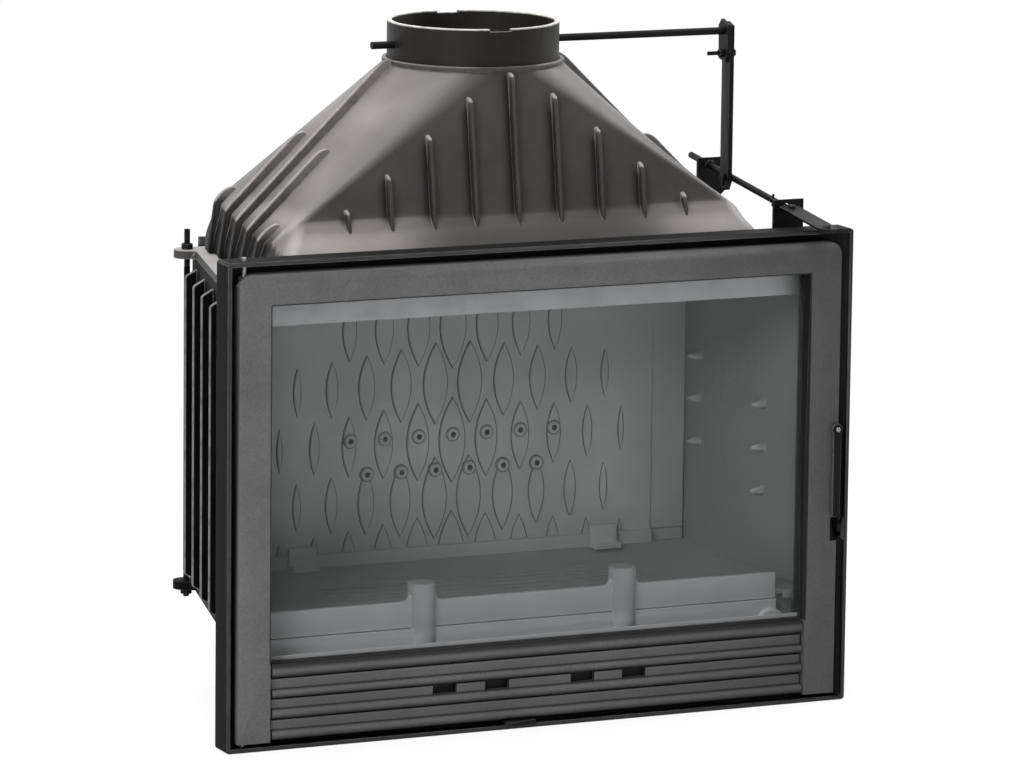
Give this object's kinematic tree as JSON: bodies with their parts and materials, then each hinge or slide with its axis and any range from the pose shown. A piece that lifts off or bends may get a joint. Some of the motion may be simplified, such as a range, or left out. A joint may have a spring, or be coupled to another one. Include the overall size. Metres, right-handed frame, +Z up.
{
  "type": "wood-burning fireplace insert",
  "caption": "Cast-iron wood-burning fireplace insert with a hinged glass door, air grille, ribbed smoke hood, round flue collar and a damper worked by a pull rod.",
  "frame": {"origin": "centre of the ash box's underside, on the floor plane", "axes": "+X to the right seen from the front, +Y into the fireplace away from the viewer, +Z up"},
  "size_m": [0.8, 0.4283, 0.812],
  "materials": {
    "cast_grey": "matt dark grey heat-proof paint over fine-grained casting",
    "cast_black": "matt black heat-proof paint over casting",
    "hood_grey": "matt warm grey heat-proof paint over casting",
    "collar_black": "satin warm black paint",
    "fire_grey": "plain grey cast iron, matt",
    "sheet_steel": "plain rolled sheet",
    "bright_steel": "zinc-plated, bright",
    "black_steel": "black oiled steel",
    "clear_glass": "clear ceramic glass",
    "rope": "woven glass-fibre rope"
  },
  "bodies": {
    "firebox": {"air_wash_channel": "sheet_steel", "ash_box": "cast_black", "ash_pan": "sheet_steel", "baffle_plate": "fire_grey", "base_plate": "cast_black", "fireback": "fire_grey", "flue_collar": "collar_black", "front_bracket_bolt": "black_steel", "front_frame": "cast_grey", "front_rod_bracket": "black_steel", "glass_retainer_bottom": "black_steel", "glass_retainer_left": "black_steel", "glass_retainer_right": "black_steel", "glass_retainer_top": "black_steel", "grate": "fire_grey", "hearth_floor": "fire_grey", "hood": "hood_grey", "latch_keeper": "cast_grey", "left_fireback_clip": "fire_grey", "left_side_plate": "cast_black", "left_tie_rod": "black_steel", "left_tie_rod_lower_nut": "black_steel", "left_tie_rod_upper_nut": "black_steel", "log_guard": "fire_grey", "lower_hinge_pin": "bright_steel", "rear_bracket_bolt": "black_steel", "rear_plate": "cast_black", "rear_rod_bracket": "black_steel", "right_fireback_clip": "fire_grey", "right_side_plate": "cast_black", "right_tie_rod": "black_steel", "right_tie_rod_lower_nut": "black_steel", "right_tie_rod_upper_nut": "black_steel", "top_plate": "cast_black", "upper_hinge_pin": "bright_steel"},
    "door": {"door_frame": "cast_grey", "door_glass": "clear_glass", "door_gasket": "rope", "lower_grille": "cast_grey", "latch_screw": "bright_steel"},
    "latch": {"latch_lever": "black_steel"},
    "air_shutter": {"air_shutter": "black_steel"},
    "damper": {"damper_shaft": "black_steel", "damper_flap": "cast_black", "left_flap_screw": "black_steel", "right_flap_screw": "black_steel", "damper_arm": "black_steel", "arm_clamp": "black_steel", "clamp_bolt": "black_steel", "clamp_nut": "black_steel"},
    "rod": {"control_rod": "black_steel", "stop_pin": "black_steel", "pull_handle": "black_steel", "handle_screw": "bright_steel"}
  },
  "joints": [
    {"name": "door_hinge", "type": "hinge", "parent": "firebox", "child": "door", "pos_m": [-0.3765, -0.152, 0], "axis": [0, 0, -1], "range_deg": [0, 100]},
    {"name": "latch_turn", "type": "hinge", "parent": "door", "child": "latch", "pos_m": [0.3815, -0.1653, 0.331], "axis": [0, 1, 0], "range_deg": [0, 3.2]},
    {"name": "air_shutter_slide", "type": "slide", "parent": "door", "child": "air_shutter", "axis": [1, 0, 0], "range_m": [0, 0.034]},
    {"name": "damper_turn", "type": "hinge", "parent": "firebox", "child": "damper", "pos_m": [0, 0.056, 0.786], "axis": [-1, 0, 0], "range_deg": [0, 9.26]},
    {"name": "rod_slide", "type": "slide", "parent": "firebox", "child": "rod", "axis": [0, -0.9936, -0.1128], "range_m": [0, 0.0301]}
  ],
  "couplings": [
    {"joint": "rod_slide", "follows": "damper_turn", "m_per_rad": 0.1856}
  ]
}
